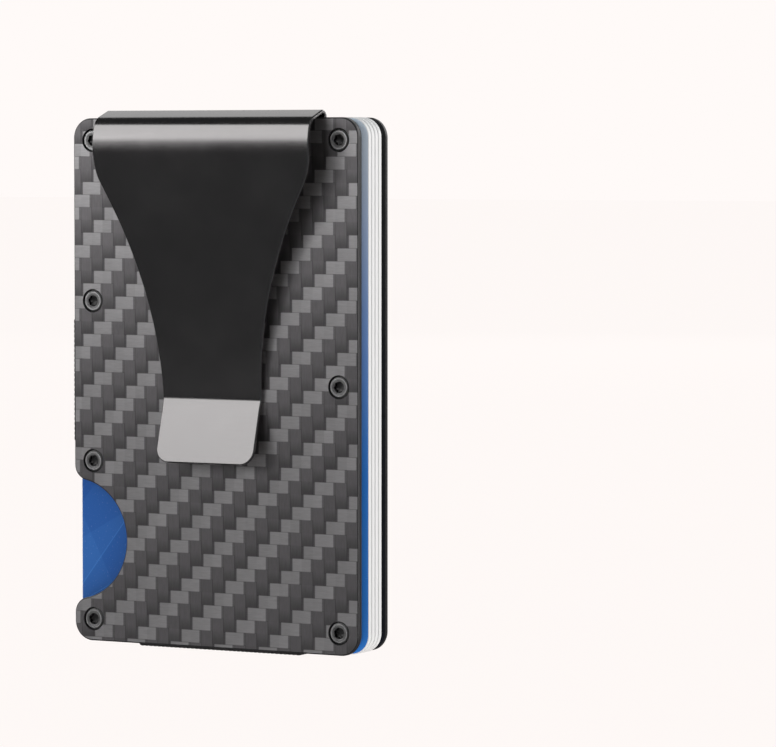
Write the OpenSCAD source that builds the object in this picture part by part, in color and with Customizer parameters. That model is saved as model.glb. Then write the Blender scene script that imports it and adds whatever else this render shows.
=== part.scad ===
// Slim card wallet with a sprung money clip on its front face and a round
// finder-tag holder on its back face. Two plate halves close on a bay of cards
// and are drawn together by three elastic straps.
// X runs across the wallet, from the thumb-notch side (-X) to the open side (+X).
// Y runs through it, from the money clip (-Y) to the tag holder (+Y). Z is up.
// The origin is in the middle of the card bay, on the underside of the bottom
// strap, which is the face that the wallet stands on.

/* [Plates] */
// Corner radius of the covers
corner_r = 3.2; // [2.5:0.1:6]
// Thickness of a carbon cover
cover_t = 0.9; // [0.7:0.05:2]
// Set-back of the inner plates on the open side
open_setback = 0.8; // [0.4:0.1:2]
// Depth of the rabbet along the notch side of an inner plate
rabbet_in = 0.6; // [0.3:0.1:1]

/* [Cards] */
// Number of cards in the bay
card_count = 4; // [4:1:4]
// Width of a card
card_w = 53.98; // [44:0.01:66]
// Height of a card
card_h = 85.6; // [71:0.01:104]
// Thickness of a card
card_t = 0.84; // [0.7:0.001:1.01]
// Corner radius of a card
card_r = 3.18; // [2.5:0.01:4]
// Air beside each card
card_air = 0.3; // [0.1:0.01:0.4]
// How far the cards stand past the open side of the covers
card_proud = 0.34; // [0:0.01:1]
// How far the cards stand past the notch side of the covers
notch_proud = 0.44; // [0.2:0.01:1]

/* [Thumb notch] */
// Radius of the notch
notch_r = 9.9; // [7:0.1:12]
// Height of the notch's centre above the lower edge of the plates
notch_up = 16.7; // [15:0.1:20]
// Radius of the rounded lips of the notch
notch_lip_r = 2.5; // [1:0.1:3]

/* [Face screws] */
// Distance of the screws from the cover's edges
screw_inset = 3.6; // [3:0.1:4.5]
// Head radius
head_r = 1.7; // [1.4:0.05:2]
// Thickness of the cover left under a head
head_floor = 0.2; // [0.1:0.05:0.3]
// Shank radius
shank_r = 0.8; // [0.6:0.05:0.9]
// Width of the drive socket across its flats
socket_af = 1.5; // [1:0.1:1.8]
// Depth of the drive socket
socket_d = 0.45; // [0.3:0.05:0.5]
// Gap round a head in its counterbore
head_gap = 0.15; // [0.05:0.05:0.3]

/* [Money clip] */
// Sheet thickness of the clip
clip_t = 0.6; // [0.5:0.01:0.75]
// Half width of the clip at its shoulder
clip_shoulder = 20.1; // [16:0.1:20.5]
// Half width of the clip at its waist
clip_waist = 9.2; // [6:0.1:12]
// Half width of the flared tip
clip_tip_half = 9.1; // [6:0.1:12]
// Height of the bend above the covers
clip_rise = 1.2; // [1:0.1:2]
// Outer face of the shoulder above the front cover
clip_off_top = 4.7; // [4:0.1:7]
// Gap between the pinch line and the front cover
clip_gap = 0.05; // [0.05:0.05:0.5]
// Pinch line below the upper edge of the covers
clip_pinch_down = 45.2; // [38:0.1:50]
// Height of the flared tip
clip_tip_h = 10.3; // [7:0.1:14]
// Flare of the tip away from the cover, degrees
clip_flare = 15.5; // [8:0.5:25]
// Slope of the roof over the upper edge, degrees
clip_roof = 20; // [12:1:30]
// Outer radius of the shoulder bend
clip_bend_r = 2.4; // [1.5:0.1:3]
// Radius of the long bow under the shoulder bend
clip_bow_r = 12; // [8:1:30]
// Slope at which the shoulder bend runs into the bow, degrees
clip_bow = 16; // [5:1:30]
// Corner radius of the tip
clip_corner_r = 2.4; // [1:0.1:3]

/* [Elastic straps] */
// Thickness of the woven elastic
strap_t = 0.45; // [0.35:0.05:0.5]
// Width of the upper and lower straps, as a share of the covers' width
strap_share = 0.564; // [0.4:0.002:0.62]
// Width of the strap on the notch side
side_strap_w = 20; // [14:0.5:24]
// Gap between the notch's upper lip and the side strap
side_strap_gap = 3.85; // [3:0.05:6]
// Length of the upper and lower straps' legs inside a half
strap_leg = 9.2; // [8.8:0.1:10]
// Height of the folded hem at the end of a leg
hem_h = 3.0; // [2:0.1:3.5]
// Stand-off of a strap's inner face from the cards
strap_air = 0.1; // [0.1:0.01:0.3]

/* [Finder tag and its holder] */
// Holder's centre below the upper edge of the plates
tag_down = 26.9; // [26:0.1:32]
// Radius of the tag
tag_r = 15.9; // [13.2:0.05:17]
// Wall of the tag's shell at its rim
tag_wall = 1.5; // [1:0.1:2]
// Radius of the coin cell
cell_r = 10; // [8:0.1:11]
// Thickness of the coin cell
cell_t = 2.5; // [1.6:0.1:2.8]
// Gap between the tag and its seat
tag_gap = 0.3; // [0.1:0.05:0.5]
// Width of the bezel outside the tag's seat
bezel_flange = 5.1; // [4.8:0.1:6]
// How far the bezel's lip reaches in over the tag
lip_in = 2.5; // [1.5:0.1:4]
// Height of the bezel above the back cover
bezel_h = 4.2; // [4:0.1:6]
// Thickness of the bezel's lip over the tag
lip_t = 0.65; // [0.5:0.05:1]
// Thickness of the foam ring under the tag
pad_t = 0.3; // [0.2:0.05:0.5]
// Floor left under the tag and under the straps' hems
web_t = 0.35; // [0.3:0.05:0.6]
// Radius of the push-out hole under the tag
push_r = 8; // [5:0.5:9]

/* [Hidden] */

$fn = 96;
small_fn = 32;
eps = 0.01;
fit = 0.05;                                  // clearance of a part in its pocket

plate_w = card_w - card_proud - notch_proud;
plate_h = card_h;
// An inner plate holds the clip's tang and a strap's leg, one under the other.
inner_t = clip_t + strap_t + 4 * fit + web_t;
head_t = cover_t - head_floor;
bay = card_count * card_t + (card_count + 1) * card_air;
half_t = cover_t + inner_t;
face_y = bay / 2 + half_t;                   // outer face of either cover, from the middle
seam_y = face_y - cover_t;                   // joint between a cover and its inner plate

z0 = strap_t + strap_air;                    // lower edge of the plates
z1 = z0 + plate_h;                           // upper edge of the plates
x0 = -plate_w / 2;                           // notch edge of the covers
x1 = plate_w / 2;                            // open edge of the covers
notch_z = z0 + notch_up;
card_x = x1 + card_proud - card_w / 2;       // middle of the cards
card_z = z0 + plate_h / 2;
card_left = card_x - card_w / 2;

// Straps: the side strap sits above the notch, and its legs stop short of the tag's seat.
strap_w = strap_share * plate_w;
notch_reach = sqrt(pow(notch_r + notch_lip_r, 2) - pow(notch_lip_r, 2));
side_mid = notch_z + notch_reach + side_strap_gap + side_strap_w / 2;
seat_r = tag_r + tag_gap;
side_leg = 0.85 * (-card_left - seat_r);

// Screw places: four along the notch side, three along the open side.
screw_low = z0 + screw_inset;
screw_high = z1 - screw_inset;
screw_off = side_strap_w / 2 + 3.1;          // the middle two stand clear of the side strap
screw_xz = concat([for (z = [screw_low, side_mid - screw_off, side_mid + screw_off, screw_high])
                       [x0 + screw_inset, z]],
                  [for (z = [screw_low, (screw_low + screw_high) / 2, screw_high]) [x1 - screw_inset, z]]);

// Tag holder, measured outwards from the middle of the wallet
tag_z = z1 - tag_down;
seat_y = bay / 2 + web_t;
tag_back_y = seat_y + pad_t;
tag_front_y = face_y + bezel_h - lip_t - fit;
cup_r = tag_r - tag_wall;
window_r = tag_r - lip_in;
bezel_r = seat_r + bezel_flange;
bead_r = seat_r + 0.5;                       // foot of the bead on the bezel
bezel_screw_r = (bead_r + bezel_r) / 2;
bezel_seat_h = 1.0;                          // seat of the bezel's screw heads
tag_floor_t = 0.8;
board_t = 0.6;
board_r = cup_r - 0.6;
tag_cover_t = 0.6;

// Money clip in the Y-Z plane, y measured towards the back
tang_y = -seam_y + fit;                      // outer face of the tang
root_r = clip_t + 0.7;                       // outer radius of the root bend
root_cy = tang_y + clip_t - root_r;
root_cz = z1 + clip_rise - root_r;
roof_a = 90 + clip_roof;
bow_a = 180 - clip_bow;
bow_cy = -face_y - clip_off_top + clip_bow_r;
bend_cy = bow_cy + (clip_bow_r - clip_bend_r) * cos(bow_a);
roof_run = (root_cy + root_r * cos(roof_a)) - (bend_cy + clip_bend_r * cos(roof_a));
bend_cz = root_cz + (root_r - clip_bend_r) * sin(roof_a) - roof_run * tan(clip_roof);
bow_cz = bend_cz - (clip_bow_r - clip_bend_r) * sin(bow_a);
hinge_y = bow_cy + clip_bow_r * cos(bow_a);
hinge_z = bow_cz + clip_bow_r * sin(bow_a);
pinch_z = z1 - clip_pinch_down;
pinch_y = -face_y - clip_t - clip_gap;
pinch_run = [pinch_y - bow_cy, bow_cz - pinch_z];
// The leaf leaves the bow on the tangent that meets the pinch line.
leg_a = 180 + atan2(pinch_run[1], -pinch_run[0]) - acos(clip_bow_r / norm(pinch_run));
tip_y = pinch_y - clip_tip_h * tan(clip_flare);
tip_z = pinch_z - clip_tip_h;
ear_half = x1 - screw_inset + 2.2;           // half width of the tang's ears
ear_top = z1 - 1.0;
ear_low = z1 - strap_leg + hem_h + 0.2;      // just above the hem of the upper strap
curve_run = z1 - 8.6 - pinch_z;              // height over which the clip narrows
shoulder_z = z1 - 5.4;                       // lower end of the straight shoulder
flank_z = z1 - 11;                           // where the rounded shoulder meets the narrowing flank

function arc(cx, cy, r, a0, a1, n) =
    [for (i = [0:n]) let (a = a0 + (a1 - a0) * i / n) [cx + r * cos(a), cy + r * sin(a)]];
function flip(list) = [for (i = [len(list) - 1:-1:0]) list[i]];

// Half width of the clip at height z, wide at the shoulder and narrow at the pinch line.
function clip_half(z) = clip_waist + (clip_shoulder - clip_waist) * pow((z - pinch_z) / curve_run, 2);

// Rounds the shoulder into the flank, t from 0 at the shoulder to 1 at the flank.
function shoulder_round(t) =
    (1 - t) * (1 - t) * [clip_shoulder, shoulder_z] + 2 * t * (1 - t) * [clip_shoulder, shoulder_z - 3.2]
    + t * t * [clip_half(flank_z), flank_z];

// A rectangle with rounded corners, from its corner points.
module round_rect(xa, xb, ya, yb, r) {
    translate([xa + r, ya]) square([xb - xa - 2 * r, yb - ya]);
    translate([xa, ya + r]) square([xb - xa, yb - ya - 2 * r]);
    for (x = [xa + r, xb - r], y = [ya + r, yb - r]) translate([x, y]) circle(r);
}

// What the thumb notch takes away, as one outline: a half round that runs into its softened lips.
module notch_cut(edge) {
    meet = acos(notch_lip_r / (notch_r + notch_lip_r));
    lip_x = edge + notch_lip_r;
    upper = arc(lip_x, notch_z + notch_reach, notch_lip_r, 180 + meet, 180, 12);
    lower = arc(lip_x, notch_z - notch_reach, notch_lip_r, 180, 180 - meet, 12);
    polygon(concat(arc(edge, notch_z, notch_r, -meet, meet, 48),
                   [for (n = [1:len(upper) - 1]) upper[n]],
                   [[edge - 1, notch_z + notch_reach], [edge - 1, notch_z - notch_reach]],
                   [for (n = [0:len(lower) - 2]) lower[n]]));
}

module plate_outline(xa, xb) {
    difference() {
        round_rect(xa, xb, z0, z1, corner_r);
        notch_cut(xa);
    }
}

// Raises a drawing made in X-Z from y to y + t.
module slab(y, t) {
    translate([0, y + t, 0]) rotate([90, 0, 0]) linear_extrude(t) children();
}

// A round bar or bore along Y.
module bar(x, z, r, y, t, n = $fn) {
    translate([x, y + t, z]) rotate([90, 0, 0]) cylinder(r = r, h = t, $fn = n);
}

// Raises a drawing made in Y-Z along X, from xa to xb.
module along_x(xa, xb) {
    translate([xa, 0, 0]) rotate([90, 0, 90]) linear_extrude(xb - xa) children();
}

// Holes for the seven face screws in the front half; the back half mirrors it.
module cover_bores() {
    for (p = screw_xz) {
        bar(p[0], p[1], head_r + head_gap, -face_y - eps, head_t + eps, small_fn);
        bar(p[0], p[1], shank_r + 0.2, -face_y, cover_t + eps, small_fn);
    }
}

module inner_bores() {
    for (p = screw_xz) bar(p[0], p[1], shank_r + fit, -seam_y - eps, inner_t - web_t, small_fn);
}

module face_screw(x, z, seat, grip) {
    difference() {
        union() {
            bar(x, z, head_r, seat, head_t, small_fn);
            bar(x, z, shank_r, seat + head_t - eps, grip, small_fn);
        }
        bar(x, z, socket_af / sqrt(3), seat - eps, socket_d + eps, 6);
    }
}

module face_screws() {
    for (p = screw_xz) face_screw(p[0], p[1], -face_y, half_t - head_t - web_t - 2 * fit);
}

module raw_inner_plate() {
    difference() {
        slab(-seam_y, inner_t) plate_outline(x0, x1 - open_setback);
        slab(-seam_y - eps, inner_t / 2) translate([x0 - 1, z0 - 1]) square([1 + rabbet_in, plate_h + 2]);
        inner_bores();
    }
}

// Pocket for one leg of a strap and its hem. The leg lies at depth d under the
// seam; the pocket is drawn pointing down from the upper edge of the plates.
module leg_pocket(w, d, leg = strap_leg) {
    deep = inner_t - web_t;
    along_x(-w / 2 - 0.2, w / 2 + 0.2) {
        translate([-seam_y - eps, z1 - leg - 0.2]) square([d + strap_t + fit + eps, leg + 1]);
        translate([-seam_y - eps, z1 - leg - 0.2]) square([deep + eps, hem_h + 0.4]);
    }
}

// Strap over the upper edge: a leg with a folded hem in each half and the
// bridge over the cards. front_d and back_d are the legs' depths under the seams.
module strap(w, front_d, back_d, leg = strap_leg) {
    deep = inner_t - web_t - 2 * fit;
    in_z = z1 + strap_air;
    out_z = in_z + strap_t;
    low = z1 - leg;
    yf = -seam_y + front_d;
    yb = seam_y - back_d;
    hem_f = -seam_y + fit;
    along_x(-w / 2, w / 2) polygon([
        [yf, out_z], [yf, low + hem_h], [hem_f, low + hem_h], [hem_f, low], [hem_f + deep, low],
        [hem_f + deep, low + hem_h], [yf + strap_t, low + hem_h], [yf + strap_t, in_z],
        [yb - strap_t, in_z], [yb - strap_t, low + hem_h], [-hem_f - deep, low + hem_h],
        [-hem_f - deep, low], [-hem_f, low], [-hem_f, low + hem_h], [yb, low + hem_h], [yb, out_z]]);
}

// Turns what is drawn at the upper edge to the lower edge, and to the notch side.
module to_bottom() { translate([0, 0, z0 + z1]) mirror([0, 0, 1]) children(); }
module to_side() {
    translate([card_left + z1, 0, side_mid]) rotate([0, 90, 0]) mirror([0, 0, 1]) children();
}

// Cut for the clip's tang: neck to the upper edge and ears to the two top screws.
module tang_shape(gap) {
    translate([-ear_half - gap, ear_low - gap]) square([2 * (ear_half + gap), ear_top - ear_low + 2 * gap]);
    translate([-clip_shoulder - gap, ear_low]) square([2 * (clip_shoulder + gap), z1 + 1 - ear_low]);
}

module front_cover() {
    color("dimgray") difference() {
        slab(-face_y, cover_t) plate_outline(x0, x1);
        cover_bores();
    }
}

module front_inner_plate() {
    color("gray") difference() {
        raw_inner_plate();
        slab(-seam_y - eps, clip_t + 2 * fit + eps) tang_shape(fit);
        leg_pocket(strap_w, clip_t + 2 * fit);
        to_bottom() leg_pocket(strap_w, fit);
        side_pocket();
    }
}

// The side strap's pocket runs in from the notch edge of the inner plate.
module side_pocket() { to_side() leg_pocket(side_strap_w, fit, side_leg); }

module front_screws() { color("silver") face_screws(); }

module clip_tang() {
    outer = concat([[tang_y + clip_t, ear_low]], arc(root_cy, root_cz, root_r, 0, roof_a, 10),
                   arc(bend_cy, bend_cz, clip_bend_r, roof_a, bow_a, 8));
    inner = concat([[tang_y, ear_low]], arc(root_cy, root_cz, root_r - clip_t, 0, roof_a, 10),
                   arc(bend_cy, bend_cz, clip_bend_r - clip_t, roof_a, bow_a, 8));
    color("black") difference() {
        union() {
            along_x(-clip_shoulder, clip_shoulder) polygon(concat(outer, flip(inner)));
            slab(tang_y, clip_t) translate([-ear_half, ear_low]) square([2 * ear_half, ear_top - ear_low]);
        }
        for (x = [x0 + screw_inset, x1 - screw_inset])
            bar(x, screw_high, shank_r + 0.1, -face_y, half_t, small_fn);
    }
}

module clip_arm() {
    n = 12;
    side = [for (i = [1:n]) let (z = flank_z + (pinch_z - flank_z) * i / n) [clip_half(z), z]];
    r = clip_corner_r;
    half = concat([[clip_shoulder, hinge_z + 1]], [for (t = [0:0.2:1]) shoulder_round(t)], side,
                  [[clip_tip_half, pinch_z - 1]],
                  arc(clip_tip_half - r, tip_z + r, r, 0, -90, 8));
    outer = concat(arc(bow_cy, bow_cz, clip_bow_r, bow_a, leg_a, 6), [[pinch_y, pinch_z], [tip_y, tip_z]]);
    inner = concat(arc(bow_cy, bow_cz, clip_bow_r - clip_t, bow_a, leg_a, 6),
                   [[pinch_y + clip_t, pinch_z], [tip_y + clip_t / cos(clip_flare), tip_z]]);
    color("dimgray") intersection() {
        along_x(-clip_shoulder, clip_shoulder) polygon(concat(outer, flip(inner)));
        slab(-face_y - 12, 13) polygon(concat(half, flip([for (p = half) [-p[0], p[1]]])));
    }
}

module elastic_top() { color("black") strap(strap_w, clip_t + 2 * fit, fit); }
module elastic_bottom() { color("black") to_bottom() strap(strap_w, fit, fit); }
module elastic_side() { color("black") to_side() strap(side_strap_w, fit, fit, side_leg); }

module back_cover() {
    color("dimgray") difference() {
        mirror([0, 1, 0]) slab(-face_y, cover_t) plate_outline(x0, x1);
        mirror([0, 1, 0]) cover_bores();
        bar(0, tag_z, seat_r, seam_y - eps, cover_t + 2 * eps);
        bezel_bores();
    }
}

// Threaded holes for the bezel's two screws.
module bezel_bores() {
    for (s = [-1, 1])
        bar(s * bezel_screw_r, tag_z, shank_r + fit, seam_y - inner_t + web_t, half_t, small_fn);
}

module back_inner_plate() {
    color("gray") difference() {
        mirror([0, 1, 0]) raw_inner_plate();
        bar(0, tag_z, seat_r, seat_y, inner_t);
        bar(0, tag_z, push_r, bay / 2 - eps, inner_t);
        mirror([0, 1, 0]) leg_pocket(strap_w, fit);
        mirror([0, 1, 0]) to_bottom() leg_pocket(strap_w, fit);
        mirror([0, 1, 0]) side_pocket();
        bezel_bores();
    }
}

module back_screws() { color("silver") mirror([0, 1, 0]) face_screws(); }

module tracker_bezel() {
    lip_h = bezel_h - lip_t;
    brow_h = 2.2;                            // crown of the flange above the cover
    rim_h = 0.35;                            // straight rim of the flange
    foot_h = 2.4;                            // where the bead starts to round over
    foot_r = bead_r - 0.15;
    crest_r = (window_r + bead_r) / 2;
    flange = [for (a = [0:7.5:90]) [bead_r + (bezel_r - bead_r) * cos(a), rim_h + (brow_h - rim_h) * sin(a)]];
    bead = [for (a = [0:9:90])
        [crest_r + (foot_r - crest_r) * cos(a), foot_h + (bezel_h - foot_h) * sin(a)]];
    lip = [for (a = [9:9:90])
        [crest_r - (crest_r - window_r) * sin(a), lip_h + 0.15 + (lip_t - 0.15) * cos(a)]];
    profile = concat([[seat_r, 0], [bezel_r, 0]], flange, [[foot_r, brow_h - 0.2]], bead, lip,
                     [[window_r, lip_h], [seat_r, lip_h]]);
    color("black") difference() {
        translate([0, face_y, tag_z]) rotate([-90, 0, 0]) rotate_extrude() polygon(profile);
        for (s = [-1, 1]) {
            bar(s * bezel_screw_r, tag_z, shank_r + 0.2, face_y - eps, bezel_h, small_fn);
            bar(s * bezel_screw_r, tag_z, head_r + head_gap, face_y + bezel_seat_h, bezel_h, small_fn);
        }
    }
}

module bezel_screws() {
    grip = bezel_seat_h + half_t - web_t - 2 * fit;
    color("silver") mirror([0, 1, 0]) for (s = [-1, 1])
        face_screw(s * bezel_screw_r, tag_z, -face_y - bezel_seat_h - head_t, grip);
}

module tracker_pad() {
    color("dimgray") difference() {
        bar(0, tag_z, tag_r - 0.4, seat_y + eps, pad_t - 2 * eps);
        bar(0, tag_z, push_r + 2, seat_y - eps, pad_t + 2 * eps);
    }
}

module tracker_shell() {
    deep = tag_front_y - tag_back_y;
    soft = 1.4;                              // rounding of the shell's back edge
    outline = concat([[0, 0]], arc(tag_r - soft, soft, soft, -90, 0, 8),
                     [[tag_r, deep - 0.3], [tag_r - 0.3, deep], [cup_r, deep], [cup_r, tag_floor_t],
                      [0, tag_floor_t]]);
    color("white") translate([0, tag_back_y, tag_z]) rotate([-90, 0, 0]) rotate_extrude() polygon(outline);
}

module tracker_battery() {
    color("silver") bar(0, tag_z, cell_r, tag_back_y + tag_floor_t + fit, cell_t);
}

module tracker_board() {
    color("green") bar(0, tag_z, board_r, tag_front_y - tag_cover_t - 0.15 - board_t, board_t);
}

module tracker_cover() {
    color("black") bar(0, tag_z, cup_r - fit, tag_front_y - tag_cover_t, tag_cover_t);
}

module card(i) {
    slab(-bay / 2 + card_air + i * (card_t + card_air), card_t)
        translate([card_x, card_z]) round_rect(-card_w / 2, card_w / 2, -card_h / 2, card_h / 2, card_r);
}

module card_1() { color("royalblue") card(0); }
module card_2() { color("white") card(1); }
module card_3() { color("white") card(2); }
module card_4() { color("royalblue") card(3); }

front_cover();
front_inner_plate();
front_screws();
clip_tang();
clip_arm();
elastic_top();
elastic_bottom();
elastic_side();
back_cover();
back_inner_plate();
back_screws();
tracker_bezel();
bezel_screws();
tracker_pad();
tracker_shell();
tracker_cover();
tracker_battery();
tracker_board();
card_1();
card_2();
card_3();
card_4();
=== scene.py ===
import math

import bmesh
import bpy
from bpy.props import FloatProperty, FloatVectorProperty, IntProperty, PointerProperty
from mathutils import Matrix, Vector


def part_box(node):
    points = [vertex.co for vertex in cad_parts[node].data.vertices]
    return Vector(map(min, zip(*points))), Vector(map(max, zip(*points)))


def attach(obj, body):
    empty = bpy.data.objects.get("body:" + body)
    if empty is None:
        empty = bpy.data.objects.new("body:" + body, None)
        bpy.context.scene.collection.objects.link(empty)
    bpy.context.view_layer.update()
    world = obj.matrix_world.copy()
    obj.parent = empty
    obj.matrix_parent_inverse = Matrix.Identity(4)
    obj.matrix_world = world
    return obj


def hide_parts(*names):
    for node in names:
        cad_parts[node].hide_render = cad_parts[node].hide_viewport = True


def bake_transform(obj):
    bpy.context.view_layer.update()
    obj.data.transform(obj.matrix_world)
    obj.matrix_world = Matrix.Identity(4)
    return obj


bl_info = {
    "name": "Clip Wallet Parts",
    "version": (1, 0, 0),
    "blender": (4, 5, 0),
    "location": "View3D > Sidebar > Wallet",
    "description": "Builds the finished pieces of a card wallet with a money clip round its CAD frame",
    "category": "Object",
}

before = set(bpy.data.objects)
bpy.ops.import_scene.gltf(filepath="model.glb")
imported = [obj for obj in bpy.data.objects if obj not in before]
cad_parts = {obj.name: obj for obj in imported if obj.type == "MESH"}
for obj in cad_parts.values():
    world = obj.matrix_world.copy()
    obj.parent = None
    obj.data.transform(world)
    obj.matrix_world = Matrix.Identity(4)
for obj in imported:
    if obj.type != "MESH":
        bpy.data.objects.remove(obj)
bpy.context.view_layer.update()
MM = 0.001


# ---------------------------------------------------------------- sizes that a user would change

def length(name, description, millimetres):
    return FloatProperty(name=name, description=description, default=millimetres * MM,
                         subtype="DISTANCE", unit="LENGTH", precision=5)


def angle(name, description, degrees):
    return FloatProperty(name=name, description=description, default=math.radians(degrees),
                         subtype="ANGLE", unit="ROTATION")


def colour(name, description, rgb):
    return FloatVectorProperty(name=name, description=description, default=rgb, size=3,
                               subtype="COLOR", min=0, max=1)


class PlateSizes(bpy.types.PropertyGroup):
    """Outline, notch and bores that both covers share."""
    corner: length("Corner", "Corner radius of the covers", 3.2)
    bevel: length("Edge bevel", "Rounding along the edges of a cover", 0.22)
    notch: length("Notch radius", "Radius of the thumb notch", 9.9)
    notch_up: length("Notch height", "Notch centre above the lower edge", 16.7)
    lip: length("Notch lips", "Radius of the notch's rounded lips", 2.5)
    inset: length("Screw inset", "Distance of the screws from the cover's edges", 3.6)
    bore: length("Counterbore", "Radius of a counterbore", 1.87)
    seat: length("Counterbore depth", "Depth of a counterbore", 0.7)
    clear: length("Shank hole", "Radius of the hole under a counterbore", 1.0)
    opening: length("Tag opening", "Radius of the opening for the finder tag", 16.2)
    tow: length("Tow width", "Width of a carbon tow in the twill", 2.07)


class ScrewSizes(bpy.types.PropertyGroup):
    """A low-head screw with a six-lobed socket."""
    head: length("Head radius", "Radius of the head", 1.7)
    rim: length("Rim chamfer", "Chamfer round the head", 0.22)
    tall: length("Head height", "Thickness of the head", 0.68)
    shank: length("Shank radius", "Radius of the shank", 0.8)
    socket: length("Socket radius", "Mean radius of the six-lobed socket", 0.78)
    lobe: length("Lobe height", "How far the socket's lobes swing in and out", 0.11)
    deep: length("Socket depth", "Depth of the socket", 0.5)
    seed: IntProperty(name="Turn seed", description="Seed for how far each screw is turned", default=4)


class ClipSizes(bpy.types.PropertyGroup):
    """The money clip, one sheet of spring steel."""
    sheet: length("Sheet", "Thickness of the sheet", 0.6)
    shoulder: length("Shoulder half width", "Half width at the shoulder", 20.1)
    waist: length("Waist half width", "Half width above the pinch line", 9.2)
    tip: length("Tip half width", "Half width of the flared tip", 9.1)
    corner: length("Tip corner", "Corner radius of the tip", 2.4)
    edge: length("Edge rounding", "Rounding along the sheet's edges", 0.16)
    rise: length("Rise", "Height of the root bend above the covers", 1.2)
    off_top: length("Shoulder stand-off", "Outer face of the shoulder above the cover", 4.7)
    gap: length("Pinch gap", "Gap between the pinch line and the cover", 0.05)
    pinch_down: length("Pinch line", "Pinch line below the upper edge of the covers", 45.2)
    tip_high: length("Tip height", "Height of the flared tip", 10.3)
    bend: length("Shoulder bend", "Outer radius of the shoulder bend", 2.4)
    bow: length("Bow", "Outer radius of the long bow under the shoulder bend", 12)
    bow_from: angle("Bow start", "Slope at which the shoulder bend runs into the bow", 16)
    root: length("Root bend", "Outer radius of the root bend", 1.3)
    flare: angle("Flare", "Flare of the tip away from the cover", 15.5)
    roof: angle("Roof", "Slope of the roof over the upper edge", 20)


class StrapSizes(bpy.types.PropertyGroup):
    """Woven elastic."""
    thick: length("Thickness", "Thickness of the elastic", 0.45)
    rib: length("Rib pitch", "Distance between lengthwise ribs", 0.8)
    rib_high: length("Rib height", "Height of a rib", 0.1)
    pick: length("Pick pitch", "Distance between the crosswise threads", 0.34)
    turn: length("Turn radius", "Radius where the strap turns over an edge", 0.55)


class HolderSizes(bpy.types.PropertyGroup):
    """The screwed bezel over the finder tag."""
    seat: length("Seat radius", "Inner radius under the lip", 16.2)
    bead: length("Bead foot", "Outer radius of the inner bead", 16.55)
    crown: length("Flange height", "Height of the flange's inner edge", 2.2)
    foot: length("Bead start", "Height where the bead starts to round over", 2.5)
    window: length("Window radius", "Radius of the window", 13.4)
    lip: length("Lip", "Thickness of the lip over the tag", 0.65)
    screw_at: length("Screw radius", "Distance of the screws from the centre", 19.0)
    screw_seat: length("Screw seat", "Height of the screw seats above the cover", 1.0)
    dome: length("Lid dome", "Rise of the tag's polished lid", 0.05)


class Finishes(bpy.types.PropertyGroup):
    """Colours of the visible finishes."""
    tow_light: colour("Light tow", "Crosswise tows of the twill", (0.60, 0.585, 0.595))
    tow_dark: colour("Dark tow", "Lengthwise tows of the twill", (0.225, 0.215, 0.222))
    card_blue: colour("Card blue", "Print on the outer cards", (0.022, 0.15, 0.60))
    card_white: colour("Card white", "Card stock", (0.86, 0.87, 0.87))
    clip_black: colour("Clip black", "Dark polished coat of the clip", (0.30, 0.29, 0.29))
    steel: colour("Steel", "Screw heads", (0.80, 0.79, 0.79))


class StageSizes(bpy.types.PropertyGroup):
    """Camera and studio."""
    turn: angle("Camera turn", "Turn of the camera round the wallet", 30.52)
    away: length("Camera distance", "Distance from the wallet's axis", 703.4)
    high: length("Camera height", "Height above the floor", 80.6)
    aim_right: length("Aim right", "Aim point to the right of the wallet's axis", 25.72)
    aim_high: length("Aim height", "Height of the aim point", 44.73)
    lens: FloatProperty(name="Lens", description="Focal length in millimetres", default=201.4)


GROUPS = {
    "wallet_plate": PlateSizes,
    "wallet_screw": ScrewSizes,
    "wallet_clip": ClipSizes,
    "wallet_strap": StrapSizes,
    "wallet_holder": HolderSizes,
    "wallet_finish": Finishes,
    "wallet_stage": StageSizes,
}


def sizes(group):
    return getattr(bpy.context.scene, "wallet_" + group)


# ---------------------------------------------------------------- shader helpers

class Wire:
    """An output socket that takes part in Python arithmetic by adding Math nodes."""

    def __init__(self, tree, socket):
        self.tree = tree
        self.socket = socket

    def _math(self, operation, *values, clamp=False):
        node = self.tree.nodes.new("ShaderNodeMath")
        node.operation = operation
        node.use_clamp = clamp
        for slot, value in zip(node.inputs, values):
            plug(self.tree, slot, value)
        return Wire(self.tree, node.outputs[0])

    def __add__(self, other): return self._math("ADD", self, other)
    def __radd__(self, other): return self._math("ADD", other, self)
    def __sub__(self, other): return self._math("SUBTRACT", self, other)
    def __rsub__(self, other): return self._math("SUBTRACT", other, self)
    def __mul__(self, other): return self._math("MULTIPLY", self, other)
    def __rmul__(self, other): return self._math("MULTIPLY", other, self)
    def __truediv__(self, other): return self._math("DIVIDE", self, other)
    def __rtruediv__(self, other): return self._math("DIVIDE", other, self)
    def __mod__(self, other): return self._math("FLOORED_MODULO", self, other)
    def __pow__(self, other): return self._math("POWER", self, other)
    def __lt__(self, other): return self._math("LESS_THAN", self, other)
    def __gt__(self, other): return self._math("GREATER_THAN", self, other)
    def __abs__(self): return self._math("ABSOLUTE", self)
    def floor(self): return self._math("FLOOR", self)
    def sine(self): return self._math("SINE", self)
    def root(self): return self._math("SQRT", self)
    def clamped(self): return self._math("ADD", self, 0.0, clamp=True)


def plug(tree, slot, value):
    """Links a Wire to a socket, or sets the socket to a plain value."""
    if isinstance(value, Wire):
        tree.links.new(value.socket, slot)
    elif isinstance(value, (tuple, list)) and len(value) == 3 and len(slot.default_value) == 4:
        slot.default_value = (*value, 1.0)
    else:
        slot.default_value = value


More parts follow.
